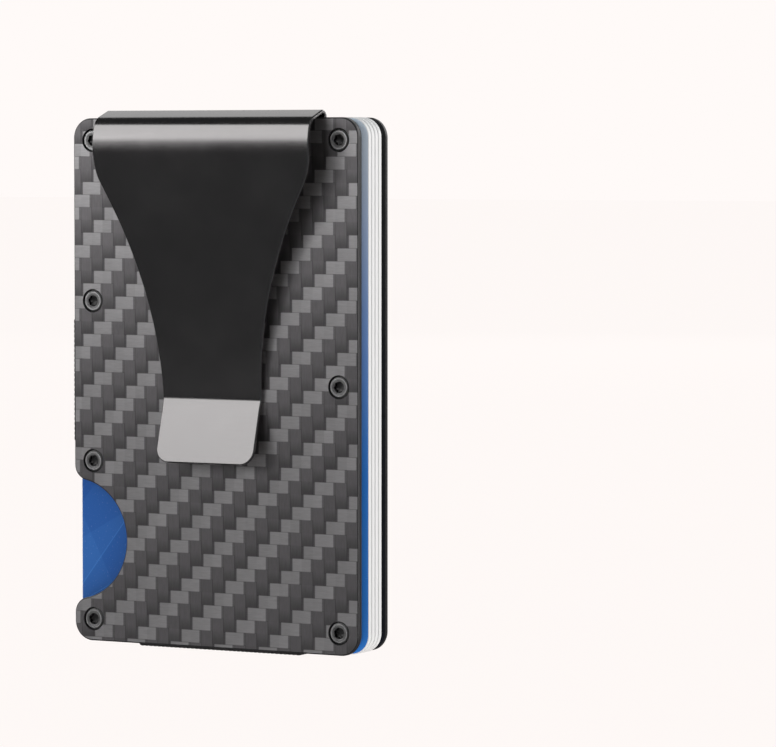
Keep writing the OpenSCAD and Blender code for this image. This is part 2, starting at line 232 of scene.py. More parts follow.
class Finish:
    """A material under construction, with one surface shader."""

    def __init__(self, name):
        self.material = bpy.data.materials.new(name)
        self.material.use_nodes = True
        self.tree = self.material.node_tree
        self.tree.nodes.clear()

    def node(self, kind, settings=None, out=0, **inputs):
        """Adds a node, sets it up, plugs its sockets by name or number, and returns one output."""
        node = self.tree.nodes.new(kind)
        for key, value in (settings or {}).items():
            if key == "stops":
                ramp = node.color_ramp
                while len(ramp.elements) < len(value):
                    ramp.elements.new(0.5)
                for stop, (place, rgb) in zip(ramp.elements, value):
                    stop.position = place
                    stop.color = (*rgb, 1.0)
            else:
                setattr(node, key, value)
        for key, value in inputs.items():
            plug(self.tree, node.inputs[int(key[1:])] if key[0] == "n" and key[1:].isdigit()
                 else node.inputs[key.replace("_", " ")], value)
        return Wire(self.tree, node.outputs[out])

    def place(self):
        """Object coordinates as three numbers in metres."""
        spot = self.node("ShaderNodeTexCoord", out="Object")
        split = self.node("ShaderNodeSeparateXYZ", n0=spot).socket.node
        return [Wire(self.tree, split.outputs[i]) for i in range(3)]

    def vector(self, x, y, z):
        return self.node("ShaderNodeCombineXYZ", n0=x, n1=y, n2=z)

    def noise(self, vector, scale, detail=2.0, roughness=0.5):
        return self.node("ShaderNodeTexNoise", {"noise_dimensions": "3D"}, out=0,
                         Vector=vector, Scale=scale, Detail=detail, Roughness=roughness)

    def grain(self, scale, detail=2.0, roughness=0.5):
        """Noise over the piece's own coordinates."""
        return self.noise(self.vector(*self.place()), scale, detail, roughness)

    def mix(self, factor, a, b, blend="MIX"):
        """Mixes two colours."""
        node = self.tree.nodes.new("ShaderNodeMix")
        node.data_type = "RGBA"
        node.blend_type = blend
        plug(self.tree, node.inputs[0], factor)
        plug(self.tree, node.inputs[6], a)
        plug(self.tree, node.inputs[7], b)
        return Wire(self.tree, node.outputs[2])

    def ramp(self, value, low, high):
        """0 below low, 1 above high, smooth between."""
        return self.node("ShaderNodeMapRange", {"interpolation_type": "SMOOTHSTEP"},
                         Value=value, From_Min=low, From_Max=high)

    def bump(self, height, distance, strength=1.0):
        return self.node("ShaderNodeBump", Height=height, Distance=distance, Strength=strength)

    def surface(self, **inputs):
        """Closes the material with a Principled shader."""
        shader = self.node("ShaderNodeBsdfPrincipled", **inputs)
        out = self.tree.nodes.new("ShaderNodeOutputMaterial")
        plug(self.tree, out.inputs["Surface"], shader)
        return self.material


# ---------------------------------------------------------------- finishes

def scratches(finish, scale=900.0):
    """Fine handling marks, 0 to 1."""
    x, y, z = finish.place()
    return finish.noise(finish.vector(x, y * 0.3, z * 0.3), scale, 4.0, 0.65)


def carbon_twill(name, turn):
    """Clear-coated two by two twill. turn is 1, or -1 to mirror the cloth."""
    f = Finish(name)
    tow = sizes("plate").tow
    x, y, z = f.place()
    wander = f.grain(90.0, 1.0) - 0.5
    u = x * (turn / tow) + wander * 0.05 + 0.18
    v = z / tow + wander * 0.05 + 0.4
    i, j = u.floor(), v.floor()
    fu, fv = u - i, v - j
    k = (i - j) % 4.0
    weft = k < 1.5
    warp = 1.0 - weft
    along = weft * (k + fu) * 0.5 + warp * (3.0 - k + fv) * 0.5
    across = weft * fv + warp * fu
    # fine filaments run along each tow
    run = f.vector(u * (1.1 + warp * 6.5), 0.0, v * (1.1 + weft * 6.5))
    fibres = f.noise(run, 1.0, 3.0, 0.7)
    tile = f.noise(f.vector(i * 3.7 + weft * 11.0, 0.0, j * 5.3), 0.37, 0.0)
    light = sizes("finish").tow_light
    dark = sizes("finish").tow_dark
    # a float's ends dip under its neighbours, so less of it shows than its full length
    shown = weft * f.ramp(along, 0.07, 0.12) * (1.0 - f.ramp(along, 0.88, 0.93))
    base = f.mix(shown, tuple(dark), tuple(light))
    lift = 0.76 + fibres * 0.42 + (tile - 0.5) * 0.3
    # painted shade: each tow darkens towards one end and towards its edges in the grooves between tows; lift
    # is random tone
    weft_painted_shade = 0.92 + 0.14 * along
    warp_painted_shade = 0.80 + 0.42 * f.ramp(along, 0.0, 0.6)
    groove_painted_shade = f.ramp(across * (1.0 - across), 0.0, 0.05)
    shade = lift * (shown * weft_painted_shade + (1.0 - shown) * warp_painted_shade) * (0.62 + 0.38 * groove_painted_shade)
    grey = f.node("ShaderNodeCombineColor", n0=shade, n1=shade, n2=shade)
    tint = f.mix(1.0, base, grey, "MULTIPLY")
    crown = across * (1.0 - across) * 4.0
    height = crown.root() * 0.6 + f.ramp(along * (1.0 - along), 0.0, 0.14) * 0.5 + fibres * 0.12
    marks = scratches(f)
    return f.surface(Base_Color=tint, Metallic=0.94, Roughness=0.33 + fibres * 0.08,
                     Coat_Weight=0.7 + 0.08 * marks, Coat_Roughness=0.07, Coat_IOR=1.5,
                     Normal=f.bump(height, 0.00003, 0.4))


def laminate_edge():
    """Cut edge of the carbon plate: fine dark plies."""
    f = Finish("laminate edge")
    x, y, z = f.place()
    plies = ((y * 26000.0).sine() * 0.5 + 0.5) * 0.5 + f.noise(f.vector(x, y * 5, z), 900.0, 3.0) * 0.5
    tint = f.mix(plies, (0.008, 0.008, 0.009), (0.036, 0.034, 0.036))
    return f.surface(Base_Color=tint, Roughness=0.34 + plies * 0.15, Coat_Weight=0.35,
                     Coat_Roughness=0.2, Normal=f.bump(plies, 0.00002, 0.6))


def anodised_plate():
    """Grey hard-anodised aluminium with fine milling marks."""
    f = Finish("anodised plate")
    x, y, z = f.place()
    mill = f.noise(f.vector(x * 0.12, y * 3.0, z * 1.0), 5200.0, 3.0, 0.6)
    cloud = f.grain(160.0)
    tint = f.mix(mill * 0.6 + cloud * 0.4, (0.10, 0.10, 0.10), (0.24, 0.24, 0.235))
    return f.surface(Base_Color=tint, Metallic=0.75, Roughness=0.38 + mill * 0.14,
                     Normal=f.bump(mill, 0.00001, 0.5))


def polished_steel(name, gain):
    """Dark polished steel of the money clip, with hairline polishing marks; gain lightens a copy used on the
    edges as a painted highlight.
    """
    f = Finish(name)
    x, y, z = f.place()
    lines = f.noise(f.vector(x * 0.02, y, z), 9000.0, 3.0, 0.6)
    smear = f.grain(130.0, 3.0, 0.6)
    base = tuple(c * gain for c in sizes("finish").clip_black)
    tint = f.mix(lines * 0.5 + smear * 0.5, tuple(c * 0.86 for c in base), tuple(c * 1.12 for c in base))
    return f.surface(Base_Color=tint, Metallic=1.0, Roughness=0.16 + smear * 0.07 + lines * 0.03,
                     Normal=f.bump(lines, 0.000002, 0.35))


def turned_steel(name, rgb):
    """Satin steel with turning rings; the piece carries its own radius as an attribute."""
    f = Finish(name)
    ring = f.node("ShaderNodeAttribute", {"attribute_name": "radius"}, out="Fac")
    rings = (ring * 52000.0).sine() * 0.5 + 0.5
    wear = f.grain(1300.0, 4.0, 0.7)
    tint = f.mix(rings * 0.35 + wear * 0.65, tuple(c * 0.7 for c in rgb), tuple(min(1, c * 1.2) for c in rgb))
    # painted shade: dark inside the socket and dimmed across the head's face; painted highlight: bright on
    # the rim
    s = sizes("screw")
    out_of_painted_socket_shade = f.ramp(ring, s.socket * 1.05, s.socket * 1.35)
    rim = f.ramp(ring, s.head * 0.74, s.head * 0.84)
    shade = 0.10 + out_of_painted_socket_shade * 0.42 + rim * 0.55
    tint = f.mix(1.0, tint, f.node("ShaderNodeCombineColor", n0=shade, n1=shade, n2=shade), "MULTIPLY")
    return f.surface(Base_Color=tint, Metallic=1.0, Roughness=0.30 + wear * 0.2,
                     Normal=f.bump(rings + wear * 0.6, 0.000004, 0.5))


def satin_black(name="satin black coat"):
    """Satin black coat of the bezel, very slightly pebbled."""
    f = Finish(name)
    pebble = f.grain(5200.0)
    rub = f.grain(240.0, 3.0, 0.6)
    tint = f.mix(rub, (0.010, 0.010, 0.011), (0.026, 0.027, 0.029))
    return f.surface(Base_Color=tint, Roughness=0.26 + rub * 0.10, Specular_IOR_Level=0.7,
                     Coat_Weight=0.35, Coat_Roughness=0.18, Normal=f.bump(pebble, 0.000006, 0.35))


def woven_elastic():
    """Black elastic, crosswise threads over and under lengthwise ribs, from the piece's UV map in metres."""
    f = Finish("woven elastic")
    s = sizes("strap")
    spot = f.node("ShaderNodeUVMap", {"uv_map": "weave"})
    split = f.node("ShaderNodeSeparateXYZ", n0=spot).socket.node
    across, along = (Wire(f.tree, split.outputs[i]) for i in range(2))
    column = (across / s.rib).floor() % 2.0
    pick = (along * (math.pi / s.pick) + column * (math.pi / 2)).sine()
    threads = abs(pick)
    fuzz = f.noise(f.vector(across, along * 0.4, 0.0), 9000.0, 3.0, 0.7)
    tint = f.mix(threads * 0.7 + fuzz * 0.3, (0.003, 0.003, 0.0033), (0.019, 0.019, 0.021))
    return f.surface(Base_Color=tint, Roughness=0.72 + fuzz * 0.2, Sheen_Weight=0.06, Sheen_Roughness=0.4,
                     Normal=f.bump(threads * 0.8 + fuzz * 0.4, 0.00006, 0.8))


def printed_card(name, node):
    """Laminated blue print, paler towards the top, with fine facet lines; the front card's print is darker
    towards the notch as painted shade.
    """
    f = Finish(name)
    x, y, z = f.place()
    low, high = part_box(node)
    up = (z - low.z) / (high.z - low.z)
    side = 1.0 if node == "card_1" else -0.2
    # painted shade: the front card's print darkens towards the notch side; the back card's lightens slightly
    # there
    across = f.ramp(x * side, -0.016, 0.016)
    facets, lines = 0.0, 0.0
    for slope, start, gap in ((0.55, 0.011, 0.021), (-1.9, 0.004, 0.034), (1.3, 0.031, 0.027)):
        run = (z - x * slope - start) / gap
        step = run - run.floor()
        facets = facets + (step > 0.5) * 0.33
        lines = lines + (1.0 - f.ramp(abs(step - 0.5), 0.0, 0.008))
    blue = tuple(sizes("finish").card_blue)
    deep = f.mix(across, tuple(c * 0.55 for c in blue), tuple(min(1.0, c * 2.0) for c in blue))
    deep = f.mix(facets * 0.16 + lines * 0.22, deep, (0.10, 0.38, 0.92))
    tint = f.mix(f.ramp(up, 0.3, 0.75) * 0.35 + f.ramp(up, 0.6, 1.0) * 0.5, deep, (0.86, 0.96, 1.0))
    grain = f.grain(3200.0)
    return f.surface(Base_Color=tint, Roughness=0.22 + grain * 0.08, Coat_Weight=0.4, Coat_Roughness=0.08,
                     Normal=f.bump(grain, 0.000003, 0.3))


def card_stock():
    """White card core, faintly banded where the sheets are pressed together."""
    f = Finish("card stock")
    x, y, z = f.place()
    white = tuple(sizes("finish").card_white)
    plies = (y * 16000.0).sine() * 0.5 + 0.5
    rub = f.grain(500.0, 4.0, 0.6)
    tint = f.mix(plies * 0.25 + rub * 0.45, tuple(c * 0.93 for c in white), white)
    return f.surface(Base_Color=tint, Roughness=0.36 + rub * 0.12, Normal=f.bump(plies, 0.000004, 0.4))


def tag_lid():
    """Mirror-gloss lid with a painted reflection in two tones that meet on a slant, and a soft lighter centre
    in the dark tone as a painted highlight.
    """
    f = Finish("two-tone lid")
    x, y, z = f.place()
    low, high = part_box("tracker_cover")
    mid_z = (low.z + high.z) / 2
    up = z - mid_z
    # painted reflection: the slanted split into light and dark halves, and the lighter centre in the dark
    # half, stand in for the mirror lid reflecting the studio
    slope = math.radians(49)
    side = up * math.cos(slope) - x * math.sin(slope)
    tone = f.ramp(side, -0.0006, 0.0006)
    reach = (x * x + up * up).root()
    painted_glow_mask = 1.0 - f.ramp(reach, 0.001, 0.0105)
    hair = f.grain(700.0, 4.0, 0.6)
    dark = f.mix(painted_glow_mask, (0.006, 0.006, 0.007), (0.16, 0.165, 0.17))
    pale = f.mix(hair, (0.74, 0.75, 0.76), (0.86, 0.87, 0.88))
    tint = f.mix(tone, dark, pale)
    return f.surface(Base_Color=tint, Roughness=0.10 + hair * 0.05, Coat_Weight=0.9, Coat_Roughness=0.03,
                     Normal=f.bump(hair, 0.000002, 0.3))


def plain_finish(name, low, high, roughness, scale, metallic=0.0):
    """A clouded finish for the pieces inside the holder."""
    f = Finish(name)
    cloud = f.grain(scale, 4.0, 0.6)
    return f.surface(Base_Color=f.mix(cloud, low, high), Metallic=metallic,
                     Roughness=roughness + cloud * 0.12,
                     Normal=f.bump(cloud, 0.00001, 0.5))


# ---------------------------------------------------------------- mesh helpers

def arc(centre_a, centre_b, radius, start, stop, steps):
    """Points on an arc, both ends included, angles in degrees."""
    turn = [math.radians(start + (stop - start) * n / steps) for n in range(steps + 1)]
    return [(centre_a + radius * math.cos(t), centre_b + radius * math.sin(t)) for t in turn]


def coat(node, finish):
    """Gives a carried-over CAD piece its finish."""
    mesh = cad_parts[node].data
    mesh.materials.clear()
    mesh.materials.append(finish)


def ring(bm, points):
    return [bm.verts.new(p) for p in points]


def skin(bm, rings, material=0, rim=()):
    """Quads between rings of the same length, one after another; the columns in rim get the next material."""
    for a, b in zip(rings, rings[1:]):
        for n in range(len(a)):
            m = (n + 1) % len(a)
            bm.faces.new((a[n], a[m], b[m], b[n])).material_index = material + (n in rim)


def cap(bm, *rings, material=0):
    """Closes the flat area between an outer ring and any inner rings."""
    edges = []
    for loop in rings:
        for n in range(len(loop)):
            pair = (loop[n], loop[(n + 1) % len(loop)])
            edges.append(bm.edges.get(pair) or bm.edges.new(pair))
    made = bmesh.ops.triangle_fill(bm, edges=edges, use_beauty=True)
    for item in made["geom"]:
        if isinstance(item, bmesh.types.BMFace):
            item.material_index = material


def piece(name, bm, *materials, sharp=22.0):
    """Turns a bmesh into a piece with outward normals and crisp edges."""
    bmesh.ops.recalc_face_normals(bm, faces=bm.faces)
    mesh = bpy.data.meshes.new(name)
    bm.to_mesh(mesh)
    bm.free()
    for material in materials:
        mesh.materials.append(material)
    mesh.shade_smooth()
    mesh.set_sharp_from_angle(angle=math.radians(sharp))
    thing = bpy.data.objects.new(name, mesh)
    bpy.context.collection.objects.link(thing)
    return thing


def baked(thing):
    """The evaluated object as a plain mesh object with no modifiers."""
    graph = bpy.context.evaluated_depsgraph_get()
    mesh = bpy.data.meshes.new_from_object(thing.evaluated_get(graph), depsgraph=graph)
    thing.modifiers.clear()
    thing.data = mesh
    mesh.name = thing.name
    return thing


def lathe(name, profile, centre, material, steps=192, sharp=22.0):
    """Spins a closed (radius, y) profile about the axis along Y through centre."""
    bm = bmesh.new()
    rings = []
    for r, y in profile:
        if r < 1e-7:
            rings.append([bm.verts.new((centre[0], y, centre[1]))])
        else:
            rings.append(ring(bm, [(centre[0] + a, y, centre[1] + b)
                                   for a, b in arc(0, 0, r, 0, 360, steps)[:-1]]))
    pairs = list(zip(rings, rings[1:]))
    if len(rings[0]) > 1:
        pairs.append((rings[-1], rings[0]))
    for a, b in pairs:
        if len(a) == 1 and len(b) == 1:
            continue
        if len(a) == 1 or len(b) == 1:
            tip, loop = (a[0], b) if len(a) == 1 else (b[0], a)
            for n in range(len(loop)):
                bm.faces.new((tip, loop[n], loop[(n + 1) % len(loop)]))
        else:
            skin(bm, [a, b])
    return piece(name, bm, material, sharp=sharp)


# ---------------------------------------------------------------- covers

def cover_outline(node, inset):
    """Outline of a cover with its thumb notch, shrunk by inset, as (x, z) points."""
    s = sizes("plate")
    low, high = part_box(node)
    r, n, l = s.corner, s.notch, s.lip
    x0, x1, z0, z1 = low.x, high.x, low.z, high.z
    zn = z0 + s.notch_up
    reach = math.sqrt((n + l) ** 2 - l ** 2)
    swing = math.degrees(math.atan2(reach, l))
    points = []
    for cx, cz, start in ((x1 - r, z0 + r, -90), (x1 - r, z1 - r, 0), (x0 + r, z1 - r, 90)):
        points += arc(cx, cz, r - inset, start, start + 90, 14)
    points += arc(x0 + l, zn + reach, l - inset, 180, 180 + swing, 12)
    points += arc(x0, zn, n + inset, swing, -swing, 44)[1:-1]
    points += arc(x0 + l, zn - reach, l - inset, 180 - swing, 180, 12)
    points += arc(x0 + r, z0 + r, r - inset, 180, 270, 14)
    return points


def screw_places(node):
    """Four screws along the notch side and three along the open side, as (x, z)."""
    low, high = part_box(node)
    inset = sizes("plate").inset
    bottom, top = low.z + inset, high.z - inset
    strap_low, strap_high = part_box("elastic_side")
    clear = 3.1 * MM
    left = [(low.x + inset, z) for z in (bottom, strap_low.z - clear, strap_high.z + clear, top)]
    right = [(high.x - inset, z) for z in (bottom, (bottom + top) / 2, top)]
    return left + right


def make_cover(name, node, outward, finishes):
    """One carbon cover. outward is -1 for the front face and 1 for the back."""
    s = sizes("plate")
    low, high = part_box(node)
    face, inner = (low.y, high.y) if outward < 0 else (high.y, low.y)
    b = s.bevel
    bm = bmesh.new()
    levels = [(face, b), (face - outward * b * 0.3, b * 0.3), (face - outward * b, 0.0),
              (inner + outward * b * 0.5, 0.0), (inner, b * 0.5)]
    rings = [ring(bm, [(x, y, z) for x, z in cover_outline(node, inset)]) for y, inset in levels]
    skin(bm, rings, 1)
    holes = []
    c = 0.06 * MM
    for x, z in screw_places(node):
        depth = face - outward * s.seat
        steps = [(face, s.bore + c), (face - outward * c, s.bore), (depth, s.bore),
                 (depth, s.clear), (inner, s.clear)]
        holes.append([ring(bm, [(a, y, d) for a, d in arc(x, z, r, 0, 360, 40)[:-1]]) for y, r in steps])
    if outward > 0:
        blow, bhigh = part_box("tracker_bezel")
        mid = ((blow.x + bhigh.x) / 2, (blow.z + bhigh.z) / 2)
        holes.append([ring(bm, [(a, y, d) for a, d in arc(*mid, s.opening, 0, 360, 96)[:-1]])
                      for y in (face, inner)])
    for hole in holes:
        skin(bm, hole, 1)
    cap(bm, rings[0], *[hole[0] for hole in holes], material=0)
    cap(bm, rings[-1], *[hole[-1] for hole in holes], material=1)
    thing = piece(name, bm, *finishes)
    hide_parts(node)
    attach(thing, "front_half" if outward < 0 else "back_half")


class WALLET_OT_covers(bpy.types.Operator):
    """Makes the two carbon covers with their notches, counterbores and rounded edges"""
    bl_idname = "wallet.covers"
    bl_label = "Carbon covers"

    def execute(self, context):
        edge = laminate_edge()
        make_cover("front_carbon_cover", "front_cover", -1, (carbon_twill("carbon twill front", 1), edge))
        make_cover("back_carbon_cover", "back_cover", 1, (carbon_twill("carbon twill back", -1), edge))
        return {"FINISHED"}


# ---------------------------------------------------------------- screws

def screw_mesh():
    """One screw that points along +Z, its head's top at the origin."""
    s = sizes("screw")
    n = 48

    def lobes(scale, z):
        turn = [2 * math.pi * k / n for k in range(n)]
        return [((s.socket + s.lobe * math.cos(6 * t)) * scale * math.cos(t),
                 (s.socket + s.lobe * math.cos(6 * t)) * scale * math.sin(t), z) for t in turn]

    def circle(r, z):
        return [(a, b, z) for a, b in arc(0, 0, r, 0, 360, n)[:-1]]

    bm = bmesh.new()
    dish = 0.05 * MM
    outside = [circle(s.socket * 1.32, -dish), circle(s.socket * 1.42, 0), circle(s.head - s.rim, 0),
               circle(s.head, -s.rim), circle(s.head, -s.tall), circle(s.shank, -s.tall),
               circle(s.shank, -s.tall - 1.4 * MM)]
    rings = [ring(bm, [Vector(p) for p in loop]) for loop in outside]
    socket = [ring(bm, lobes(1.06, -dish)), ring(bm, lobes(1.0, -dish * 2)), ring(bm, lobes(0.96, -s.deep)),
              ring(bm, lobes(0.45, -s.deep - 0.12 * MM))]
    skin(bm, [socket[0], rings[0]])
    skin(bm, rings)
    skin(bm, socket)
    cap(bm, rings[-1])
    cap(bm, socket[-1])
    radius = bm.verts.layers.float.new("radius")
    for v in bm.verts:
        v[radius] = math.hypot(v.co.x, v.co.y)
    return piece("screw pattern", bm, sharp=28.0)


def screw_tree():
    """Sets a screw on every point, each turned by its own angle."""
    tree = bpy.data.node_groups.new("Screw set", "GeometryNodeTree")
    for name, kind in (("Places", "Geometry"), ("Screw", "Object"), ("Outward", "Vector"), ("Seed", "Int"),
                       ("Finish", "Material")):
        tree.interface.new_socket(name, in_out="INPUT", socket_type="NodeSocket" + kind)
    tree.interface.new_socket("Screws", in_out="OUTPUT", socket_type="NodeSocketGeometry")
    new = tree.nodes.new
    given, result = new("NodeGroupInput"), new("NodeGroupOutput")
    source = new("GeometryNodeObjectInfo")
    align = new("FunctionNodeAlignRotationToVector")
    align.axis = "Z"
    spin = new("FunctionNodeAxisAngleToRotation")
    spin.inputs["Axis"].default_value = (0, 0, 1)
    dice = new("FunctionNodeRandomValue")
    dice.data_type = "FLOAT"
    dice.inputs[3].default_value = math.radians(60)
    turn = new("FunctionNodeRotateRotation")
    turn.rotation_space = "LOCAL"
    spread = new("GeometryNodeInstanceOnPoints")
    real = new("GeometryNodeRealizeInstances")
    paint = new("GeometryNodeSetMaterial")
    for start, out, end, into in (
            (given, "Screw", source, "Object"), (given, "Outward", align, "Vector"),
            (given, "Seed", dice, "Seed"), (dice, 1, spin, "Angle"),
            (align, "Rotation", turn, "Rotation"), (spin, "Rotation", turn, "Rotate By"),
            (given, "Places", spread, "Points"), (source, "Geometry", spread, "Instance"),
            (turn, "Rotation", spread, "Rotation"), (spread, "Instances", real, "Geometry"),
            (real, "Geometry", paint, "Geometry"), (given, "Finish", paint, "Material"),
            (paint, "Geometry", result, "Screws")):
        tree.links.new(start.outputs[out], end.inputs[into])
    return tree


def set_inputs(modifier, **values):
    """Sets a Geometry Nodes modifier's inputs by the names in its tree."""
    for item in modifier.node_group.interface.items_tree:
        if item.item_type == "SOCKET" and item.in_out == "INPUT" and item.name in values:
            modifier[item.identifier] = values[item.name]


def screw_set(name, node, body, points, outward, pattern, tree, finish):
    """All the screws of one body as one plain mesh."""
    mesh = bpy.data.meshes.new(name)
    mesh.from_pydata(points, [], [])
    thing = bpy.data.objects.new(name, mesh)
    bpy.context.collection.objects.link(thing)
    modifier = thing.modifiers.new("screws", "NODES")
    modifier.node_group = tree
    set_inputs(modifier, Screw=pattern, Outward=(0.0, float(outward), 0.0), Seed=sizes("screw").seed,
               Finish=finish)
    baked(thing)
    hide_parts(node)
    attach(thing, body)


class WALLET_OT_screws(bpy.types.Operator):
    """Sets the screws of both covers and of the bezel"""
    bl_idname = "wallet.screws"
    bl_label = "Screws"

    def execute(self, context):
        pattern, tree = screw_mesh(), screw_tree()
        finish = turned_steel("satin screw steel", tuple(sizes("finish").steel))
        front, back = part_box("front_cover")[0].y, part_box("back_cover")[1].y
        sunk = 0.02 * MM
        screw_set("front_face_screws", "front_screws", "front_half",
                  [(x, front + sunk, z) for x, z in screw_places("front_cover")], -1, pattern, tree, finish)
        screw_set("back_face_screws", "back_screws", "back_half",
                  [(x, back - sunk, z) for x, z in screw_places("back_cover")], 1, pattern, tree, finish)
        h, s = sizes("holder"), sizes("screw")
        low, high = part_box("tracker_bezel")
        top = low.y + h.screw_seat + s.tall
        screw_set("bezel_fixing_screws", "bezel_screws", "back_half",
                  [(side * h.screw_at, top, (low.z + high.z) / 2) for side in (-1, 1)],
                  1, pattern, tree, finish)
        bpy.data.objects.remove(pattern)
        return {"FINISHED"}


# ---------------------------------------------------------------- money clip

def clip_width(top):
    """The clip's half width as a function of height, under covers whose upper edge is at top."""
    c = sizes("clip")
    pinch, narrowing = top - c.pinch_down, c.pinch_down - 8.6 * MM
    straight, flank, pull = top - 5.4 * MM, top - 11 * MM, 3.2 * MM

    def narrow(z):
        return c.waist + (c.shoulder - c.waist) * ((z - pinch) / narrowing) ** 2

    def half(z):
        if z >= straight:
            return c.shoulder
        if z > flank:
            # where a quadratic curve from the straight shoulder to the flank crosses this height
            k = 2 * pull - (straight - flank)
            t = (pull - math.sqrt(pull ** 2 - k * (straight - z))) / k
            return c.shoulder * (1 - t * t) + narrow(flank) * t * t
        return narrow(z) if z > pinch else c.waist + (c.tip - c.waist) * min(1.0, (pinch - z) / MM)

    return half


def clip_stations():
    """The clip's path: (outer y, outer z, inner y, inner z, half width, turn round a tip corner)."""
    c = sizes("clip")
    low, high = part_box("front_cover")
    top, face = high.z, low.y
    tang_low, tang_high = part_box("clip_tang")
    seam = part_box("front_inner_plate")[0].y + 0.05 * MM
    half = clip_width(top)
    roof, bow = 90 + math.degrees(c.roof), 180 - math.degrees(c.bow_from)
    lift, drop = math.sin(math.radians(roof)), math.cos(math.radians(roof))
    root_y, root_z = seam + c.sheet - c.root, top + c.rise - c.root
    bow_y = face - c.off_top + c.bow
    bend_y = bow_y + (c.bow - c.bend) * math.cos(math.radians(bow))
    run = (root_y + c.root * drop) - (bend_y + c.bend * drop)
    bend_z = root_z + (c.root - c.bend) * lift - run * math.tan(c.roof)
    bow_z = bend_z - (c.bow - c.bend) * math.sin(math.radians(bow))
    pinch_y, pinch_z = face - c.sheet - c.gap, top - c.pinch_down
    across, down = bow_y - pinch_y, bow_z - pinch_z
    lean = math.degrees(math.atan2(down, across) - math.acos(c.bow / math.hypot(across, down)))

    ear, ear_top = tang_high.x, top - 1.0 * MM
    path = [(seam + c.sheet, tang_low.z, seam, tang_low.z, ear, 0.0),
            (seam + c.sheet, ear_top, seam, ear_top, ear, 0.0),
            (seam + c.sheet, ear_top, seam, ear_top, c.shoulder, 0.0)]

    def turn(cy, cz, radius, start, stop, steps):
        for (oy, oz), (iy, iz) in zip(arc(cy, cz, radius, start, stop, steps),
                                      arc(cy, cz, radius - c.sheet, start, stop, steps)):
            path.append((oy, oz, iy, iz, half(oz), 0.0))

    turn(root_y, root_z, c.root, 0, roof, 14)
    turn(bend_y, bend_z, c.bend, roof, bow, 14)
    turn(bow_y, bow_z, c.bow, bow, 180 + lean, 12)
    # the straight leaf, a softened pinch bend, then the flared tip
    soft = 1.2 * MM
    knee = lean + math.degrees(c.flare)
    reach = soft * math.tan(math.radians(knee / 2))
    tilt = math.radians(lean)
    normal = (-math.cos(tilt), -math.sin(tilt))
    start = path[-1]
    leaf_y, leaf_z = pinch_y - reach * math.sin(tilt), pinch_z + reach * math.cos(tilt)
    steps = 40
    for n in range(1, steps + 1):
        y = start[0] + (leaf_y - start[0]) * n / steps
        z = start[1] + (leaf_z - start[1]) * n / steps
        path.append((y, z, y - normal[0] * c.sheet, z - normal[1] * c.sheet, half(z), 0.0))
    knee_y, knee_z = leaf_y + normal[0] * soft, leaf_z + normal[1] * soft
    for n in range(1, 7):
        a = math.radians(lean - knee * n / 6)
        oy, oz = knee_y + soft * math.cos(a), knee_z + soft * math.sin(a)
        path.append((oy, oz, oy + c.sheet * math.cos(a), oz + c.sheet * math.sin(a), half(oz), 0.0))
    y0, z0 = path[-1][:2]
    ca, sa = math.cos(c.flare), math.sin(c.flare)
    total = (z0 - (pinch_z - c.tip_high)) / ca
    rounds = [(c.corner * (1 - math.sin(t)), c.tip - c.corner * (1 - math.cos(t)), t)
              for t in [math.radians(7.5 * n) for n in range(13)]]
    for back, wide, t in [(total * (1 - n / 6) + c.corner * n / 6, None, 0.0) for n in range(1, 6)] + rounds:
        go = total - back
        y, z = y0 - sa * go, z0 - ca * go
        path.append((y, z, y + ca * c.sheet, z - sa * c.sheet, wide or half(z), t))
    return path


class WALLET_OT_clip(bpy.types.Operator):
    """Makes the money clip as one bent sheet"""
    bl_idname = "wallet.clip"
    bl_label = "Money clip"

    def execute(self, context):
        bm = bmesh.new()
        columns = 20
        e, flare = sizes("clip").edge, sizes("clip").flare
        up = Vector((0, math.sin(flare), math.cos(flare)))
        rings = []
        stations = clip_stations()
        tip = [(*stations[-1], sunk) for sunk in (0.3, 1.0)]
        # the edge is a bevel of three points; past the last station the flat columns follow it to the end
        for oy, oz, iy, iz, half, t, sunk in [(*at, 0.0) for at in stations] + tip:
            outer, inner = Vector((0, oy, oz)), Vector((0, iy, iz))
            through = (inner - outer).normalized()

            def edge_point(face, depth, side, share):
                inset = 1.0 - share
                return (face + depth * max(share, sunk) * e + up * e * math.sin(t) * min(inset, 1.0 - sunk)
                        + Vector((side * (half - e * math.cos(t) * inset), 0, 0)))

            loop = []
            for face, depth, side in ((outer, through, 1), (inner, -through, -1)):
                for n in range(columns + 1):
                    loop.append(edge_point(face, depth, side * (2 * n / columns - 1), 0.0))
                loop += [edge_point(face, depth, side, 0.7), edge_point(face, depth, side, 1.0)]
                far, away = (inner, -through) if side == 1 else (outer, through)
                loop += [edge_point(far, away, side, 1.0), edge_point(far, away, side, 0.7)]
            rings.append(ring(bm, loop))
        turn = columns + 5
        skin(bm, rings, rim=[*range(columns, turn), *range(turn + columns, turn * 2)])
        for end in (rings[0], rings[-1]):
            bm.faces.new(end).material_index = 1
        bmesh.ops.remove_doubles(bm, verts=bm.verts[:], dist=0.0005 * MM)
        bmesh.ops.triangulate(bm, faces=[f for f in bm.faces if len(f.verts) > 4])
        # the rim columns and end faces take a copy of the steel lightened 2.1 times, a painted highlight
        thing = piece("money_clip", bm, polished_steel("dark polished steel", 1.0),
                      polished_steel("rubbed steel edge", 2.1), sharp=35.0)
        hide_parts("clip_tang", "clip_arm")
        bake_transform(thing)
        return {"FINISHED"}


# ---------------------------------------------------------------- straps

